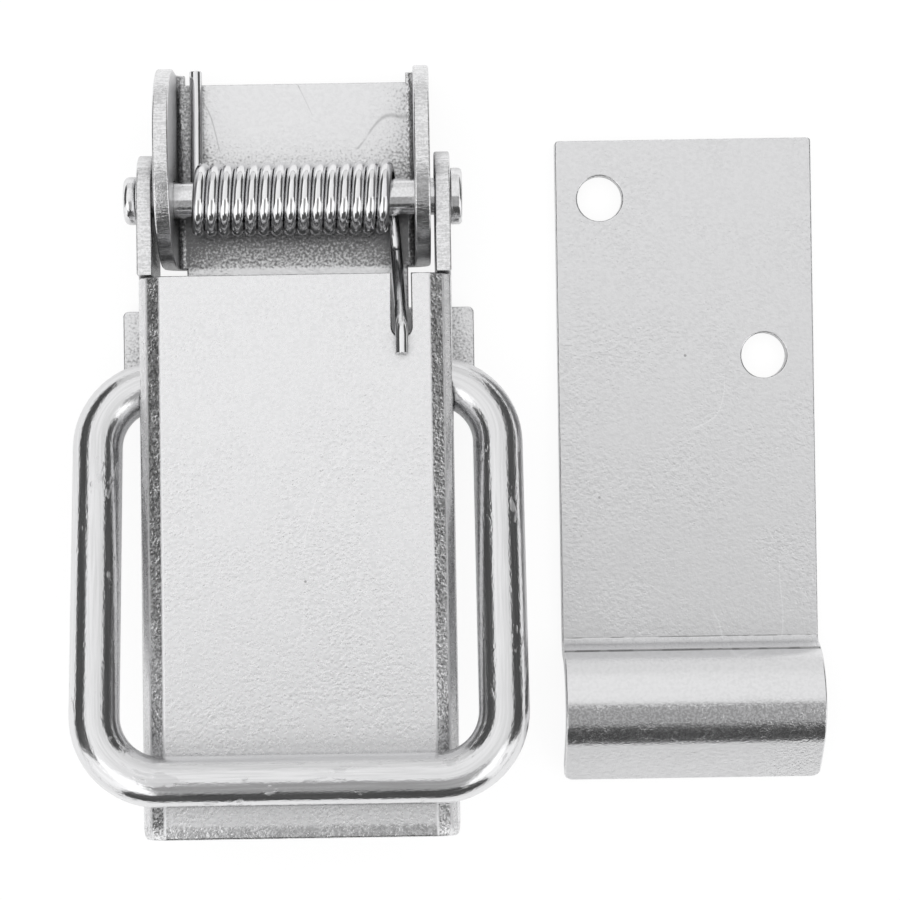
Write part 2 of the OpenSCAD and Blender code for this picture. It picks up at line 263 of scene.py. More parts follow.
def folded_side(u, w, flat_half, pressed=None):
    """Where a point of a flat sheet goes when both its sides are folded up.

    u is across the sheet and w through it. pressed says how far the outer face lies within
    a round bend at each turn.
    """
    side, beyond = (1 if u > 0 else -1), abs(u) - flat_half
    if beyond <= 0:
        return u, w
    turn = min(beyond / BEND_L, 1) * pi / 2
    rho = BEND_OUT - w
    if pressed:
        rho -= pressed(turn) * (1 - w / SHEET_T)
    return side * (flat_half + rho * sin(turn)), BEND_OUT - rho * cos(turn) + max(beyond - BEND_L, 0)


def pressed_in(turn):
    """How far the lever's pressed bends lie inside a round bend, at a turn of 0 to a quarter."""
    for (x0, z0), (x1, z1) in zip(PRESSED, PRESSED[1:]):
        if turn <= atan2(x1, z1) + 1e-6:
            across = sin(turn) * (z1 - z0) - cos(turn) * (x1 - x0)
            return BEND_OUT - (x0 * (z1 - z0) - z0 * (x1 - x0)) / across
    return 0.0


def finished(name, bm, materials, body, nodes, place=None):
    """Turn a bmesh in millimetres into a smooth object in metres that stands for CAD nodes."""
    if place is not None:
        bm.transform(place)
    bmesh.ops.recalc_face_normals(bm, faces=bm.faces)
    if bm.calc_volume(signed=True) < 0:
        bmesh.ops.reverse_faces(bm, faces=bm.faces)
    bm.transform(Matrix.Scale(MM, 4))
    mesh = bpy.data.meshes.new(name)
    bm.to_mesh(mesh)
    bm.free()
    for material in materials:
        mesh.materials.append(material)
    mesh.polygons.foreach_set("use_smooth", [True] * len(mesh.polygons))
    piece = bpy.data.objects.new(name, mesh)
    bpy.context.scene.collection.objects.link(piece)
    weighted = piece.modifiers.new("flat faces stay flat", "WEIGHTED_NORMAL")
    weighted.weight = 60
    if body:
        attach(piece, body)
    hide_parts(*nodes)
    return piece


def tube(path, radius, sides, chamfer=0.15):
    """A round wire along a path of points, with its ends slightly chamfered."""
    count = len(path)
    tangents = []
    for i in range(count):
        ahead, behind = path[min(i + 1, count - 1)], path[max(i - 1, 0)]
        tangents.append((ahead - behind).normalized())
    rings = [(path[i], tangents[i], radius) for i in range(count)]
    first, last = rings[0], rings[-1]
    rings[0] = (first[0] + first[1] * chamfer, first[1], radius)
    rings[-1] = (last[0] - last[1] * chamfer, last[1], radius)
    rings.insert(0, (first[0], first[1], radius - chamfer))
    rings.append((last[0], last[1], radius - chamfer))
    bm = bmesh.new()
    wire = bm.verts.layers.float_vector.new("wire")
    side = Vector((1, 0, 0)) if abs(tangents[0].x) < 0.9 else Vector((0, 0, 1))
    loops = []
    along, last = 0.0, rings[0][0]
    for centre, tangent, r in rings:
        along, last = along + (centre - last).length, centre
        side = (side - side.dot(tangent) * tangent).normalized()
        other = tangent.cross(side)
        turns = [2 * pi * k / sides for k in range(sides)]
        loops.append([bm.verts.new(centre + r * (cos(t) * side + sin(t) * other)) for t in turns])
        for vert, t in zip(loops[-1], turns):
            vert[wire] = Vector((r * cos(t), r * sin(t), along)) * MM
    for low, high in zip(loops, loops[1:]):
        for k in range(sides):
            n = (k + 1) % sides
            bm.faces.new((low[k], low[n], high[n], high[k]))
    bm.faces.new(loops[0][::-1])
    bm.faces.new(loops[-1])
    return bm


def bend(a, b, c, radius, steps):
    """Points of a bend that rounds the corner b between a and c."""
    u, v = (a - b).normalized(), (c - b).normalized()
    half = acos(max(-1, min(1, u.dot(v)))) / 2
    mid = b + (u + v).normalized() * radius / sin(half)
    p = b + u * radius / tan(half) - mid
    q = b + v * radius / tan(half) - mid
    sweep = pi - 2 * half
    shares = [i / steps for i in range(steps + 1)]
    return [mid + (p * sin(sweep * (1 - s)) + q * sin(sweep * s)) / sin(sweep) for s in shares]


# Materials

COOL = 1.01
# How much the coil's painted shadow darkens the base plate
COIL_SHADE = 0.45


class Nodes:
    """Short ways to build the node tree of a material or a world."""

    def __init__(self, owner):
        owner.use_nodes = True
        self.owner = owner
        self.tree = owner.node_tree
        self.tree.nodes.clear()

    def add(self, kind, **values):
        node = self.tree.nodes.new(kind)
        for key, value in values.items():
            setattr(node, key, value)
        return node

    def put(self, socket, value):
        if isinstance(value, bpy.types.NodeSocket):
            self.tree.links.new(value, socket)
        else:
            socket.default_value = value

    def maths(self, operation, *values):
        node = self.add("ShaderNodeMath", operation=operation)
        for socket, value in zip(node.inputs, values):
            self.put(socket, value)
        return node.outputs["Value"]

    def shader(self, kind, key, value):
        """A shader with one of its inputs set."""
        node = self.add(kind)
        self.put(node.inputs[key], value)
        return node.outputs[0]

    def either(self, share, first, second):
        """The first shader at a share of 0, and the second at 1."""
        node = self.add("ShaderNodeMixShader")
        for socket, value in zip(node.inputs, (share, first, second)):
            self.put(socket, value)
        return node.outputs[0]

    def out(self, kind, shader):
        """Show a shader, and give back what the nodes belong to."""
        self.put(self.add(kind).inputs["Surface"], shader)
        return self.owner


class Metal(Nodes):
    """Short ways to build a metal's finish."""

    def __init__(self, name):
        super().__init__(bpy.data.materials.new(name))
        self.place = self.add("ShaderNodeTexCoord").outputs["Object"]

    def attribute(self, name, output="Fac"):
        return self.add("ShaderNodeAttribute", attribute_name=name).outputs[output]

    def stretched(self, scale, vector=None):
        node = self.add("ShaderNodeMapping")
        self.put(node.inputs["Vector"], vector or self.place)
        self.put(node.inputs["Scale"], scale)
        return node.outputs["Vector"]

    def noise(self, scale, detail=2.0, rough=0.5, vector=None, lumpy=0.0):
        node = self.add("ShaderNodeTexNoise")
        self.put(node.inputs["Vector"], vector or self.place)
        self.put(node.inputs["Scale"], scale)
        self.put(node.inputs["Detail"], detail)
        self.put(node.inputs["Roughness"], rough)
        self.put(node.inputs["Distortion"], lumpy)
        return node.outputs["Fac"]

    def cells(self, scale):
        node = self.add("ShaderNodeTexVoronoi")
        self.put(node.inputs["Vector"], self.place)
        self.put(node.inputs["Scale"], scale)
        return node.outputs["Distance"]

    def scratches(self, scale, width, rarity):
        """Thin, long, slightly bent lines here and there."""
        lines = self.noise(scale, 1, 0.5, self.stretched((1.0, 0.55, 1.0)))
        away = self.maths("ABSOLUTE", self.maths("SUBTRACT", lines, 0.5))
        here = self.ramp(self.noise(85, 2), rarity, rarity + 0.06)
        return self.maths("MULTIPLY", self.ramp(away, 0.0, width, 1.0, 0.0), here)

    def specks(self, scale, size, rarity):
        """Small spots here and there."""
        spots = self.ramp(self.cells(scale), size / 2, size, 1.0, 0.0)
        return self.maths("MULTIPLY", spots, self.ramp(self.noise(60, 2), rarity, rarity + 0.03))

    def painted_shade(self, colour, distance=0.006, least=0.55, clear=0.95, speckle=0.3):
        """The same colour with painted shade: darker and speckled in hollows and close beside other
        pieces, and under the coil where the shaded mark lies.
        """
        # Painted shade: ambient occlusion darkens the colour towards a dark grey in hollows and
        # beside other pieces
        node = self.add("ShaderNodeAmbientOcclusion", samples=6)
        self.put(node.inputs["Distance"], distance)
        fine = self.maths("MULTIPLY", self.maths("SUBTRACT", self.noise(2700, 1), 0.5), speckle)
        # Painted shadow of the coil, where the base plate is marked shaded
        shade = self.maths("MULTIPLY", self.attribute("shaded"), COIL_SHADE)
        fine = self.maths("SUBTRACT", fine, shade)
        share = self.ramp(self.maths("ADD", node.outputs["AO"], fine), 0.15, clear, least, 1.0)
        return self.mix(share, grey(0.16), colour)

    def ramp(self, value, low, high, to_low=0.0, to_high=1.0):
        node = self.add("ShaderNodeMapRange", interpolation_type="SMOOTHSTEP")
        for key, item in (("Value", value), ("From Min", low), ("From Max", high),
                          ("To Min", to_low), ("To Max", to_high)):
            self.put(node.inputs[key], item)
        return node.outputs["Result"]

    def mix(self, share, a, b):
        node = self.add("ShaderNodeMix", data_type="RGBA")
        self.put(node.inputs["Factor"], share)
        self.put(node.inputs["A"], a)
        self.put(node.inputs["B"], b)
        return node.outputs["Result"]

    def bump(self, height, strength, distance, normal=None):
        node = self.add("ShaderNodeBump")
        self.put(node.inputs["Height"], height)
        self.put(node.inputs["Strength"], strength)
        self.put(node.inputs["Distance"], distance)
        if normal is not None:
            self.put(node.inputs["Normal"], normal)
        return node.outputs["Normal"]

    def metal(self, colour, rough, normal):
        node = self.add("ShaderNodeBsdfPrincipled")
        for key, value in (("Metallic", 1.0), ("Base Color", colour), ("Roughness", rough),
                           ("Normal", normal)):
            self.put(node.inputs[key], value)
        return self.out("ShaderNodeOutputMaterial", node.outputs["BSDF"])


def grey(value):
    """A grey with a trace of blue in it."""
    return (value, value, value * COOL, 1.0)


def zinc_face(name, tone, rough, relief, scratched=0.88, **painted_shade_settings):
    """Bright zinc plating over rolled sheet: fine grain, calmer patches, crinkles at its bends.

    The keyword settings at the end set its painted shade in hollows, where they differ from the
    defaults.
    """
    n = Metal(name)
    bent, drawn, ribbed, bend_highlight, groove_shade = [
        n.attribute(item) for item in ("bent", "drawn", "ribbed", "bend_highlight", "groove_shade")]
    patches = n.ramp(n.noise(70, 3, 0.6), 0.38, 0.66, 0.4, 1.0)
    grain = n.noise(2000, 2, 0.5)
    pits = n.ramp(n.cells(1500), 0.0, 0.3, 0.0, 0.4)
    crinkle = n.noise(2900, 1, 0.5, lumpy=0.5)
    sparks = n.ramp(n.noise(650, 1), 0.45, 0.68, 0.5, 1.5)
    ribs = n.noise(3600, 1, 0.5, n.stretched((1.0, 0.12, 0.12)))
    scratch = n.scratches(34, 0.0022, 0.5)
    dings = n.specks(170, 0.045, 0.56)
    strength = n.maths("ADD", n.maths("MULTIPLY", patches, 0.55), n.maths("MULTIPLY", bent, 0.3))
    kept = n.maths("SUBTRACT", 1.0, n.maths("MULTIPLY", drawn, 0.6))
    strength = n.maths("MULTIPLY", strength, kept)
    normal = n.bump(n.noise(160, 1), 0.3, 0.00006)
    normal = n.bump(n.maths("ADD", grain, pits), strength, 0.00008 * relief, normal)
    crumpled = n.maths("MULTIPLY", bent, n.maths("MULTIPLY", sparks, 0.8))
    normal = n.bump(crinkle, crumpled, 0.00010, normal)
    normal = n.bump(ribs, ribbed, 0.00010, normal)
    calm = n.mix(patches, grey(0.78 * tone), grey(0.75 * tone))
    colour = n.mix(n.ramp(grain, 0.35, 0.6), calm, grey(0.80 * tone))
    dots = n.maths("MULTIPLY", n.ramp(crinkle, 0.44, 0.56, 0.8, 0.0), bent)
    colour = n.mix(dots, colour, grey(0.34))
    colour = n.mix(n.maths("MULTIPLY", dings, 0.8), colour, grey(0.30))
    colour = n.mix(n.maths("MULTIPLY", scratch, 0.5), colour, grey(scratched))
    colour = n.mix(n.maths("MULTIPLY", ribbed, 0.7), colour, grey(0.90))
    # Painted highlight along the lever's bend lines: a lighter grey where the mark lies
    colour = n.mix(bend_highlight, colour, grey(0.93))
    # Painted shade along the catch's grooves: dark lines, broken into dashes where the mark is weak
    broken = n.maths("MULTIPLY", groove_shade, n.ramp(n.noise(330, 1), 0.45, 0.52, 0.2, 1.8))
    whole = n.maths("MULTIPLY", n.maths("SUBTRACT", groove_shade, 0.5), 1.6)
    colour = n.mix(n.maths("MINIMUM", n.maths("MAXIMUM", broken, whole), 1.0), colour, grey(0.22))
    # Painted shade in hollows, beside other pieces and, on the base plate, under the coil
    colour = n.painted_shade(colour, **painted_shade_settings)
    roughness = n.ramp(n.noise(1300, 2), 0.3, 0.7, rough, rough + 0.05)
    roughness = n.maths("SUBTRACT", roughness, n.maths("MULTIPLY", drawn, rough * 0.4))
    worked = n.maths("MULTIPLY", n.maths("MAXIMUM", bend_highlight, ribbed), 0.3)
    roughness = n.maths("ADD", roughness, worked)
    return n.metal(colour, roughness, normal)


def sheared_edge():
    """The cut edge of the sheet: a little duller, with marks across it from the shear."""
    n = Metal("sheared_edge")
    marks = n.noise(3400, 2, 0.6, n.stretched((0.2, 1.0, 1.0)))
    grain = n.noise(2600, 2, 0.6)
    colour = n.mix(n.ramp(n.maths("ADD", marks, grain), 0.8, 1.2), grey(0.60), grey(0.78))
    rough = n.ramp(n.noise(900, 2), 0.3, 0.7, 0.17, 0.26)
    normal = n.bump(grain, 0.45, 0.00006, n.bump(marks, 0.6, 0.00006))
    # Painted shade in hollows and beside other pieces
    colour = n.painted_shade(colour, distance=0.004, least=0.4)
    return n.metal(colour, rough, normal)


def bright_wire(name, tones, roughs, worn, along_wire):
    """Drawn wire or turned rod: fine lines along it, and spots where the finish is knocked dull."""
    n = Metal(name)
    place = n.attribute("wire", "Vector") if along_wire else n.place
    lines = n.noise(2600, 2, 0.5, n.stretched((1.0, 1.0, 0.04), place))
    spots = n.ramp(n.noise(420, 3, 0.65, n.stretched((1.0, 1.0, 0.35), place)), 0.60, 0.68)
    grain = n.noise(2800, 2, 0.6, n.stretched((1.0, 1.0, 0.4), place))
    colour = n.mix(n.ramp(lines, 0.35, 0.65), *[grey(tone) for tone in tones])
    rough = n.ramp(lines, 0.3, 0.7, *roughs)
    rough = n.maths("ADD", rough, n.maths("MULTIPLY", spots, 0.22 * worn))
    normal = n.bump(lines, 0.25 * worn, 0.00002)
    normal = n.bump(grain, 0.4 * worn, 0.00005, normal)
    normal = n.bump(spots, 0.5 * worn, 0.00004, normal)
    return n.metal(colour, rough, normal)


zinc = zinc_face("zinc_face", tone=0.98, rough=0.25, relief=1.2)
# The base plate's painted shade is deeper and reaches further in hollows and under the coil
base_zinc = zinc_face("base_zinc", tone=0.97, rough=0.30, relief=1.3, scratched=0.30,
                      distance=0.008, least=0.0, clear=0.66, speckle=1.15)
catch_zinc = zinc_face("catch_zinc", tone=0.92, rough=0.32, relief=1.6)
edge = sheared_edge()
bail_metal = bright_wire("bail_zinc", (0.66, 0.73), (0.13, 0.20), worn=1.4, along_wire=True)
spring_metal = bright_wire("spring_steel", (0.74, 0.80), (0.09, 0.13), worn=0.15, along_wire=True)
rivet_metal = bright_wire("rivet_zinc", (0.68, 0.76), (0.10, 0.17), worn=0.3, along_wire=False)


# Pieces


def make_base():
    flat_half = BASE_W / 2 - BEND_OUT
    bend_end = flat_half + BEND_L
    near, far = PIVOT_Y - EAR_NEAR, PIVOT_Y + EAR_FAR
    tab_y = TAB_L - BASE_FOOT

    def up(z):
        return bend_end + z - BEND_OUT

    half = [(TAB_W / 2 - TAB_CORNER_R, -BASE_FOOT)]
    half += arc((TAB_W / 2 - TAB_CORNER_R, TAB_CORNER_R - BASE_FOOT), TAB_CORNER_R, -90, 0, 6)[1:]
    half += arc((TAB_W / 2 - TAB_CORNER_R, tab_y - TAB_CORNER_R), TAB_CORNER_R, 0, 90, 6)
    neck = flat_half - NECK_INSET
    half += [(neck, tab_y), (neck, near)]
    half += arc((up(EAR_H - EAR_NEAR_R), near + EAR_NEAR_R), EAR_NEAR_R, -90, 0, 24)
    half += arc((up(EAR_H - EAR_FAR_R), far - EAR_FAR_R), EAR_FAR_R, 0, 90, 24)
    half += [(neck, far), (neck, PIVOT_Y + BASE_HEAD)]
    outer = half + mirrored(half)
    holes = [circle((side * BASE_HOLE_GAP / 2, 0), BASE_HOLE_D) for side in (-1, 1)]
    rivet_hole_d = RIVET_D + 2 * RIVET_CLEAR
    holes += [circle((side * up(PIVOT_Z), PIVOT_Y), rivet_hole_d) for side in (-1, 1)]
    bm = plate([outer] + holes)
    for side in (-1, 1):
        cut(bm, 0, [side * u for u in steps_between(flat_half, bend_end, 12)])
    fold_from = (tab_y + near) / 2
    mark(bm, "bent", lambda u, v, w: inside(abs(u), flat_half, bend_end) * (v > fold_from))
    coil_edge = PIVOT_Y - COIL_D / 2
    # A band of the plate under and before the coil, marked for its painted shadow
    shade = [coil_edge - SHADE_START, coil_edge - SHADE_FULL, coil_edge, PIVOT_Y]
    cut(bm, 1, shade)
    shaded_half = flat_half + SHADE_SLACK
    mark(bm, "shaded", lambda u, v, w: inside(v, shade[0], shade[-1]) * (abs(u) < shaded_half))
    for vert in bm.verts:
        u, v, w = vert.co
        if v > fold_from:
            x, z = folded_side(u, w, flat_half)
            vert.co = (x, v, z)
    return finished("base_sheet", bm, [base_zinc, edge], "base", ["base_plate"])


def lever_place():
    return Matrix.Translation(PIVOT) @ Matrix.Rotation(-RISE, 4, "X")


def roll_over(along):
    """How far the shear drew the lever's face down, near its end."""
    share = max(0.0, min(1.0, (along - LEVER_L + ROLL_OVER_L) / ROLL_OVER_L))
    return ROLL_OVER * share ** ROLL_OVER_POWER


def make_lever():
    flat_half = LEVER_W / 2 - BEND_OUT
    bend_end = flat_half + BEND_L
    slot_x = BASE_W / 2 - SHEET_T - SLOT_EAR_GAP

    def down(h):
        return bend_end + WEB_RISE - BEND_OUT - h

    ear_mid = (down(WEB_RISE) + down(-FLANGE_DROP)) / 2
    ear_start = WEB_START - SLIT_W
    side = [(bend_end, WEB_START), (bend_end, ear_start), (down(WEB_RISE), ear_start)]
    side += arc((ear_mid, 0), FLANGE_H / 2, 180, 360, 32)
    corner = (down(-FLANGE_DROP) - LEVER_CORNER_R, LEVER_L - LEVER_CORNER_R)
    side += arc(corner, LEVER_CORNER_R, 0, 90, 8)
    slot = [(slot_x - SLOT_W / 2, WEB_START)]
    slot += arc((slot_x, SLOT_END - SLOT_W / 2), SLOT_W / 2, 180, 0, 12)
    slot += [(slot_x + SLOT_W / 2, WEB_START)]
    outer = slot + side + mirrored(side)
    bail_hole_d = BAIL_D + 2 * BAIL_CLEAR
    rivet_hole_d = RIVET_D + 2 * RIVET_CLEAR
    holes = [circle((s * down(0), 0), rivet_hole_d) for s in (-1, 1)]
    holes += [circle((s * down(-BAIL_DROP), BAIL_AT), bail_hole_d) for s in (-1, 1)]
    bm = plate([outer] + holes)
    bends = [flat_half + BEND_L * atan2(x, z) / (pi / 2) for x, z in PRESSED]
    for s in (-1, 1):
        cut(bm, 0, [s * (flat_half - BEND_HIGHLIGHT_W)])
        cut(bm, 0, [s * u for u in steps_between(bends[0], bends[1], 8)])
        cut(bm, 0, [s * u for u in steps_between(bends[1], bends[2], 6)[1:]])
        cut(bm, 0, [s * u for u in steps_between(bends[2], bends[3], 4)[1:]])
    cut(bm, 1, steps_between(LEVER_L - ROLL_OVER_L, LEVER_L - ROLL_OVER_END, 7))
    ear_from = WEB_START - SLIT_W / 2

    def bent(u, a, w):
        at_end = inside(a, LEVER_L - ROLL_OVER_L, LEVER_L) * ROLL_OVER_BENT
        return max(inside(abs(u), bends[0], bends[1]) * (a > ear_from), at_end)

    # Painted highlight lines at the web's edge and at the pressed bend's first corner
    def bend_highlight(u, a, w):
        return (a > ear_from) * max(close_to(abs(u), place) for place in bends[:2])

    mark(bm, "bent", bent)
    mark(bm, "bend_highlight", bend_highlight)
    for vert in bm.verts:
        u, a, w = vert.co
        s = 1 if u > 0 else -1
        if a < ear_from and abs(u) > flat_half:
            vert.co = (s * (LEVER_W / 2 - w), -a, WEB_RISE - (abs(u) - bend_end + BEND_OUT))
        else:
            w += roll_over(a) * (1 - w / SHEET_T)
            x, z = folded_side(u, w, flat_half, pressed_in)
            vert.co = (x, -a, WEB_RISE - z)
    return finished("lever_sheet", bm, [zinc, edge], "lever", ["lever"], lever_place())


def make_catch():
    fold_mid, roll_mid = FOLD_R + SHEET_T / 2, ROLL_R - SHEET_T / 2
    fold_z = SHEET_T + FOLD_R
    lean = asin((fold_z - ROLL_Z) / (fold_mid + roll_mid))
    roll_s = CATCH_FLAT_L + (fold_mid + roll_mid) * cos(lean)
    fold_l = fold_mid * (pi / 2 - lean)
    roll_l = roll_mid * (pi / 2 - lean + FLANK_ANGLE)
    flank_l = (ROLL_Z + (ROLL_R - SHEET_T) * cos(FLANK_ANGLE)) / sin(FLANK_ANGLE)
    fold_end = CATCH_FLAT_L + fold_l
    roll_end = fold_end + roll_l
    total = roll_end + flank_l
    grooves = [(CATCH_FLAT_L - GROOVE_1_W, CATCH_FLAT_L), [fold_end + place for place in GROOVE_2]]
    outer = arc((CATCH_CORNER_R, CATCH_CORNER_R), CATCH_CORNER_R, 180, 270, 4)
    outer += arc((CATCH_W - CATCH_CORNER_R, CATCH_CORNER_R), CATCH_CORNER_R, 270, 360, 4)
    outer += arc((CATCH_W - CATCH_END_R, total - CATCH_END_R), CATCH_END_R, 0, 90, 6)
    outer += arc((CATCH_END_R, total - CATCH_END_R), CATCH_END_R, 90, 180, 6)
    bm = plate([outer, circle(HOLE_1, CATCH_HOLE_D), circle(HOLE_2, CATCH_HOLE_D)])
    cut(bm, 1, steps_between(CATCH_FLAT_L, fold_end, 10))
    cut(bm, 1, steps_between(fold_end, roll_end, 44)[1:])
    for start, end in grooves:
        cut(bm, 1, (start, (start + end) / 2, end))
    crest = roll_end - FLANK_ANGLE * roll_mid

    # Painted shade in the grooves: weaker in the first, full in the second
    def groove_shade(x, s, w):
        return max(inside(s, *grooves[0]) * GROOVE_1_SHADE, inside(s, *grooves[1]))

    def drawn(x, s, w):
        return inside(s, fold_end, roll_end) or inside(s, roll_end, total + 1) * FLANK_DRAWN

    mark(bm, "bent", lambda x, s, w: inside(s, crest, roll_end) * CREST_BENT)
    mark(bm, "groove_shade", groove_shade)
    mark(bm, "ribbed", lambda x, s, w: inside(s, CATCH_FLAT_L, grooves[1][0]))
    mark(bm, "drawn", drawn)
    for vert in bm.verts:
        x, s, w = vert.co
        pressed = max(1 - abs(s - (low + high) / 2) / ((high - low) / 2) for low, high in grooves)
        w -= GROOVE_DEPTH * max(0.0, pressed) * w / SHEET_T
        if s > roll_end:
            along, out = s - roll_end, ROLL_R - SHEET_T + w
            y = roll_s + out * sin(FLANK_ANGLE) + along * cos(FLANK_ANGLE)
            z = ROLL_Z + out * cos(FLANK_ANGLE) - along * sin(FLANK_ANGLE)
        elif s > fold_end:
            turn = pi - lean - (s - fold_end) / roll_mid
            out = ROLL_R - SHEET_T + w
            y, z = roll_s + out * cos(turn), ROLL_Z + out * sin(turn)
        elif s > CATCH_FLAT_L:
            turn = (s - CATCH_FLAT_L) / fold_mid
            rho = FOLD_R + SHEET_T - w
            y, z = CATCH_FLAT_L + rho * sin(turn), fold_z - rho * cos(turn)
        else:
            y, z = s, w
        vert.co = (x, y, z)
    corner = Matrix.Translation((BAIL_W / 2 + CATCH_GAP, CATCH_END_Y, 0))
    place = corner @ Matrix.Scale(-1, 4, (0, 1, 0))
    return finished("catch_sheet", bm, [catch_zinc, edge], "base", ["catch_plate"], place)


def lathe(profile, steps=48):
    """A solid of revolution about X, from its profile's points (x, radius)."""
    bm = bmesh.new()
    rings = []
    for x, r in profile:
        turns = [2 * pi * k / steps for k in range(steps)]
        if r == 0:
            rings.append([bm.verts.new((x, 0, 0))])
        else:
            rings.append([bm.verts.new((x, r * cos(t), r * sin(t))) for t in turns])
    for low, high in zip(rings, rings[1:]):
        for k in range(steps):
            n = (k + 1) % steps
            corners = [low[k % len(low)], low[n % len(low)], high[n % len(high)], high[k % len(high)]]
            bm.faces.new(list(dict.fromkeys(corners)))
    return bm


def make_rivet():
    head_x = LEVER_W / 2 + HEAD_GAP
    peen_x = LEVER_W / 2 + PEEN_GAP
    r, head_r, peen_r = RIVET_D / 2, HEAD_D / 2, PEEN_D / 2
    head_rim, peen_rim = HEAD_T / 3, PEEN_T / 2
    c = RIVET_CHAMFER
    profile = [(-peen_x - PEEN_T, 0)]
    profile += [(-peen_x - PEEN_T + peen_rim + a, peen_r - peen_rim + b)
                for a, b in arc((0, 0), peen_rim, 180, 90, 6)]
    profile += [(-peen_x - c, peen_r), (-peen_x, peen_r - c), (-peen_x, r + c), (-peen_x + c, r)]
    profile += [(head_x - c, r), (head_x, r + c), (head_x, head_r - c), (head_x + c, head_r)]
    profile += [(head_x + HEAD_T - head_rim + a, head_r - head_rim + b)
                for a, b in arc((0, 0), head_rim, 90, 0, 6)]
    profile += [(head_x + HEAD_T, 0)]
    place = Matrix.Translation(PIVOT)
    return finished("rivet", lathe(profile), [rivet_metal], "base", ["pivot_rivet"], place)


def spring_path():
    """The leg on the base, the coil around the rivet, and the leg through the lever's slot."""
    coil_r = (COIL_D - SPRING_D) / 2
    pitch = SPRING_D + COIL_GAP
    base_in_w = BASE_W - 2 * SHEET_T
    turns = floor((base_in_w - 2 * COIL_ROOM) / pitch)
    coil_x = -COIL_SHIFT - turns * pitch / 2
    over = SPRING_D / 2 + LEG_GAP
    slot_x = base_in_w / 2 - SLOT_EAR_GAP
    place = lever_place()

    def coil(turn):
        angle = 2 * pi * turn
        y, z = PIVOT_Y - coil_r * sin(angle), PIVOT_Z - coil_r * cos(angle)
        return Vector((coil_x + pitch * turn, y, z))

    def on_lever(along):
        return place @ Vector((slot_x, -along, WEB_RISE + over))

    end = Vector((coil_x, PIVOT_Y + BASE_HEAD + LEG_PAST, SHEET_T + over))
    knee = end - Vector((0, LEG_FLAT_L, 0))
    leg_rest = SLOT_END - SPRING_D / 2
    corner_x = (slot_x + coil_x + turns * pitch) / 2
    corner_1 = Vector((corner_x, PIVOT_Y - LEG_LEVEL_L, PIVOT_Z - coil_r))
    corner_2, tip = on_lever(leg_rest), on_lever(leg_rest + LEG_LIE_L)
    path = [end] + bend(end, knee, coil(0), LEG_BEND_R, 4)
    path += [coil(i / COIL_STEPS) for i in range(turns * COIL_STEPS + 1)]
    path += bend(coil(turns), corner_1, corner_2, LEG_BEND_R, 8)
    path += bend(corner_1, corner_2, tip, LEG_BEND_R, 8) + [tip]
    return path, coil_x, coil_x + turns * pitch


def make_spring():
    path, left, right = spring_path()
    bm = tube(path, SPRING_D / 2, SPRING_SIDES, chamfer=LEG_CHAMFER)
    piece = finished("torsion_spring", bm, [spring_metal], None, ["spring"])
    start = Vector((left, PIVOT_Y, PIVOT_Z)) * MM
    end = Vector((right, PIVOT_Y, PIVOT_Z)) * MM
    return piece, start, end


def make_bail():
    half_w = (BAIL_W - BAIL_D) / 2
    path = [(-BAIL_SEAM / 2, 0)]
    path += arc((BAIL_ROOT_R - half_w, -BAIL_ROOT_R), BAIL_ROOT_R, 90, 180, 16)
    path += arc((BAIL_BEND_R - half_w, BAIL_BEND_R - BAIL_L), BAIL_BEND_R, 180, 270, 16)
    path += arc((half_w - BAIL_BEND_R, BAIL_BEND_R - BAIL_L), BAIL_BEND_R, 270, 360, 16)
    path += arc((half_w - BAIL_ROOT_R, -BAIL_ROOT_R), BAIL_ROOT_R, 0, 90, 16)
    path += [(BAIL_SEAM / 2, 0)]
    bm = tube([Vector((x, y, 0)) for x, y in path], BAIL_D / 2, BAIL_SIDES)
    hinge = lever_place() @ Vector((0, -BAIL_AT, -BAIL_DROP))
    place = Matrix.Translation(hinge) @ Matrix.Rotation(-RISE - BAIL_LIE, 4, "X")
    return finished("bail_wire", bm, [bail_metal], "bail", ["bail"], place)


make_base()
make_lever()
make_catch()
make_rivet()
spring, spring_start, spring_end = make_spring()
make_bail()
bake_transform(spring)


# Floor, light and camera, in metres

FLOOR_HALF = 0.45
FLOOR_MID = Vector((0.015, -0.02, -0.0002))
FLOOR_PALE = 0.8
FLOOR_GLOW = 1.02
FLOOR_SEEN = 0.88
FLOOR_REFLECTED = 0.2
ROOM_LIGHT = 0.7
ROOM_DARK = 0.09

# The room's corners, and where the lamps overhead change
ROOM_TOP = 0.9
ROOM_LEFT = -0.82
ROOM_RIGHT = 1.05
ROOM_BACK_RIGHT = 0.85
ROOM_FRONT = -1.25
ROOM_BACK = 1.4
NEAR_LEFT = -0.22
NEAR_RIGHT = 0.50
NEAR_FRONT = -1.0
CATCH_LEFT = 0.10
CATCH_FRONT = -0.11
OVERHEAD_FRONT = -0.065
SIDE_WALLS_BACK = -0.25
SIDE_WALLS_LIGHT = 1.15

# The camera: its scale, its height and middle in millimetres, and the middle's column of pixels
PIXELS = 900
PIXELS_PER_MM = 6.88
CAMERA_HEIGHT = 380.0
CAMERA_X = 15.1
CAMERA_Y = -19.5
CAMERA_COLUMN = 405
CAMERA_TURN = radians(-0.9)


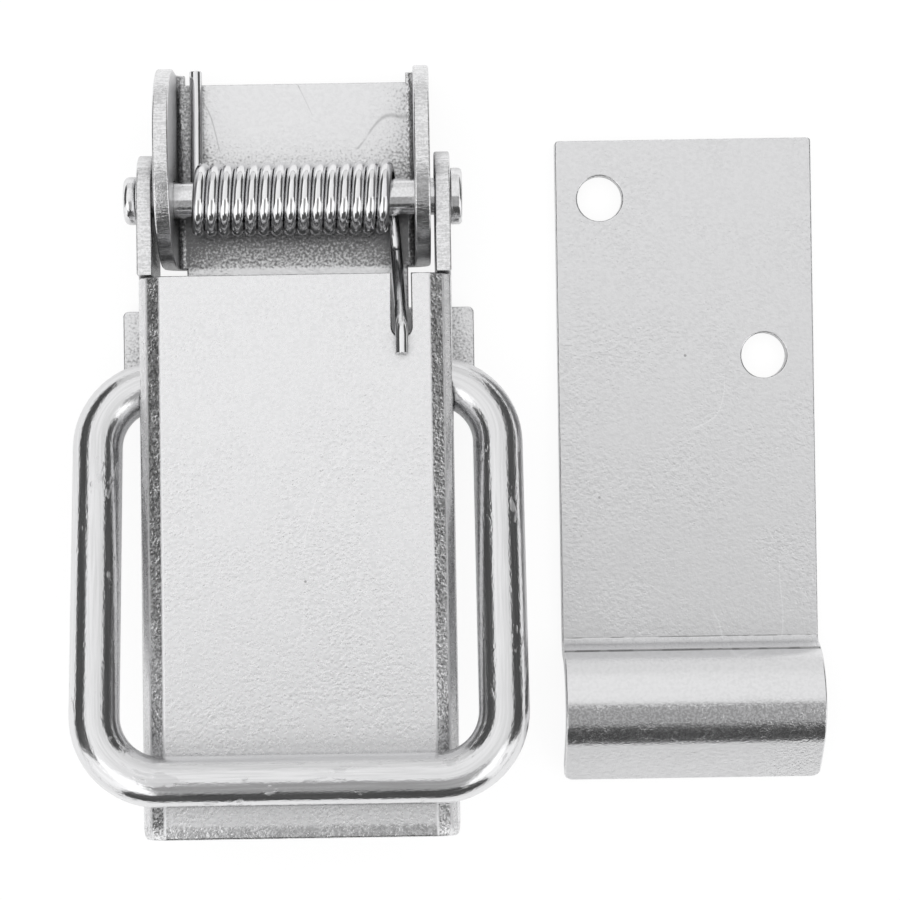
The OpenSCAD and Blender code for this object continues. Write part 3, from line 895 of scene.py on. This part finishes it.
def floor_material():
    """White where it is lit, to the camera and in reflections, and darker in the object's shade."""
    n = Nodes(bpy.data.materials.new("floor_white"))
    diffuse = n.shader("ShaderNodeBsdfDiffuse", "Color", (FLOOR_PALE, FLOOR_PALE, FLOOR_PALE, 1))
    glow = n.shader("ShaderNodeEmission", "Strength", FLOOR_GLOW)
    rays = n.add("ShaderNodeLightPath").outputs
    reflected = n.maths("MULTIPLY", rays["Is Glossy Ray"], FLOOR_REFLECTED)
    share = n.maths("MULTIPLY_ADD", rays["Is Camera Ray"], FLOOR_SEEN, reflected)
    return n.out("ShaderNodeOutputMaterial", n.either(share, diffuse, glow))


def make_floor():
    mesh = bpy.data.meshes.new("floor")
    corners = [FLOOR_MID + Vector((x * FLOOR_HALF, y * FLOOR_HALF, 0))
               for x, y in ((-1, -1), (1, -1), (1, 1), (-1, 1))]
    mesh.from_pydata(corners, [], [(0, 1, 2, 3)])
    mesh.materials.append(floor_material())
    piece = bpy.data.objects.new("floor", mesh)
    bpy.context.scene.collection.objects.link(piece)


def add_panel(name, corner_a, corner_b, facing, radiance, radiance_far=None):
    """A soft box between two corners, with one thin side, that gives this radiance.

    radiance_far is what it gives at its far end along X, where that is not the same.
    """
    low, high = Vector(corner_a), Vector(corner_b)
    size = high - low
    data = bpy.data.lights.new(name, "AREA")
    data.shape = "RECTANGLE"
    data.size, data.size_y = (size.x, size.y + size.z) if size.x else (size.y, size.z)
    data.energy = pi * data.size * data.size_y
    data.use_nodes = True
    tree = data.node_tree
    place = tree.nodes.new("ShaderNodeNewGeometry")
    parts = tree.nodes.new("ShaderNodeSeparateXYZ")
    tree.links.new(place.outputs["Parametric"], parts.inputs[0])
    level = tree.nodes.new("ShaderNodeMapRange")
    ends = (radiance, radiance if radiance_far is None else radiance_far)
    level.inputs["To Min"].default_value, level.inputs["To Max"].default_value = ends
    tree.links.new(parts.outputs["X"], level.inputs["Value"])
    tree.links.new(level.outputs[0], tree.nodes["Emission"].inputs["Strength"])
    lamp = bpy.data.objects.new(name, data)
    lamp.location = (low + high) / 2
    lamp.rotation_euler = (-Vector(facing)).to_track_quat("Z", "Y").to_euler()
    lamp.visible_camera = False
    bpy.context.scene.collection.objects.link(lamp)


def add_overhead(name, x, y, *radiance):
    """A soft box overhead, between two places along X and two along Y."""
    add_panel(name, (x[0], y[0], ROOM_TOP), (x[1], y[1], ROOM_TOP), (0, 0, -1), *radiance)


def add_side_wall(name, x, facing):
    corners = (x, ROOM_FRONT, 0.0), (x, SIDE_WALLS_BACK, ROOM_TOP)
    add_panel(name, *corners, facing, SIDE_WALLS_LIGHT)


def make_world():
    """White to the camera, pale to the floor, and a dark room in the metal's reflections."""
    world = bpy.data.worlds.new("studio")
    bpy.context.scene.world = world
    n = Nodes(world)
    rays = n.add("ShaderNodeLightPath").outputs
    pale, dark, white = [n.shader("ShaderNodeBackground", "Color", (value, value, value, 1))
                         for value in (ROOM_LIGHT, ROOM_DARK, 1.0)]
    room = n.either(rays["Is Glossy Ray"], pale, dark)
    n.out("ShaderNodeOutputWorld", n.either(rays["Is Camera Ray"], room, white))


def make_camera():
    """Straight above the part, close to it, with the frame shifted and turned a little."""
    data = bpy.data.cameras.new("camera")
    data.sensor_width = 36.0
    data.lens = data.sensor_width * PIXELS_PER_MM * CAMERA_HEIGHT / PIXELS
    data.shift_x = (PIXELS / 2 - CAMERA_COLUMN) / PIXELS
    data.clip_start = 0.05
    camera = bpy.data.objects.new("camera", data)
    camera.location = Vector((CAMERA_X, CAMERA_Y, CAMERA_HEIGHT)) * MM
    camera.rotation_euler = (0, 0, CAMERA_TURN)
    bpy.context.scene.collection.objects.link(camera)
    bpy.context.scene.camera = camera


make_floor()
make_world()
make_camera()
add_overhead("overhead", (ROOM_LEFT, ROOM_BACK_RIGHT), (OVERHEAD_FRONT, ROOM_BACK), 1.10, 0.84)
add_overhead("overhead_near", (NEAR_LEFT, CATCH_LEFT), (NEAR_FRONT, OVERHEAD_FRONT), 0.30, 0.38)
add_overhead("overhead_catch", (CATCH_LEFT, NEAR_RIGHT), (CATCH_FRONT, OVERHEAD_FRONT), 0.95, 0.80)
add_overhead("near_catch", (CATCH_LEFT, NEAR_RIGHT), (NEAR_FRONT, CATCH_FRONT), 0.38, 0.45)
add_overhead("front_left", (ROOM_LEFT, NEAR_LEFT), (ROOM_FRONT, OVERHEAD_FRONT), 1.5)
add_overhead("front_right", (NEAR_RIGHT, ROOM_RIGHT), (ROOM_FRONT, OVERHEAD_FRONT), 1.5)
add_side_wall("left_wall", ROOM_LEFT, (1, 0, 0))
add_side_wall("right_wall", ROOM_RIGHT, (-1, 0, 0))
add_panel("back_wall", (ROOM_LEFT, ROOM_BACK, 0.0), (ROOM_BACK_RIGHT, ROOM_BACK, ROOM_TOP),
          (0, -1, 0), 0.9, 0.75)
bpy.context.scene.view_settings.view_transform = "Standard"
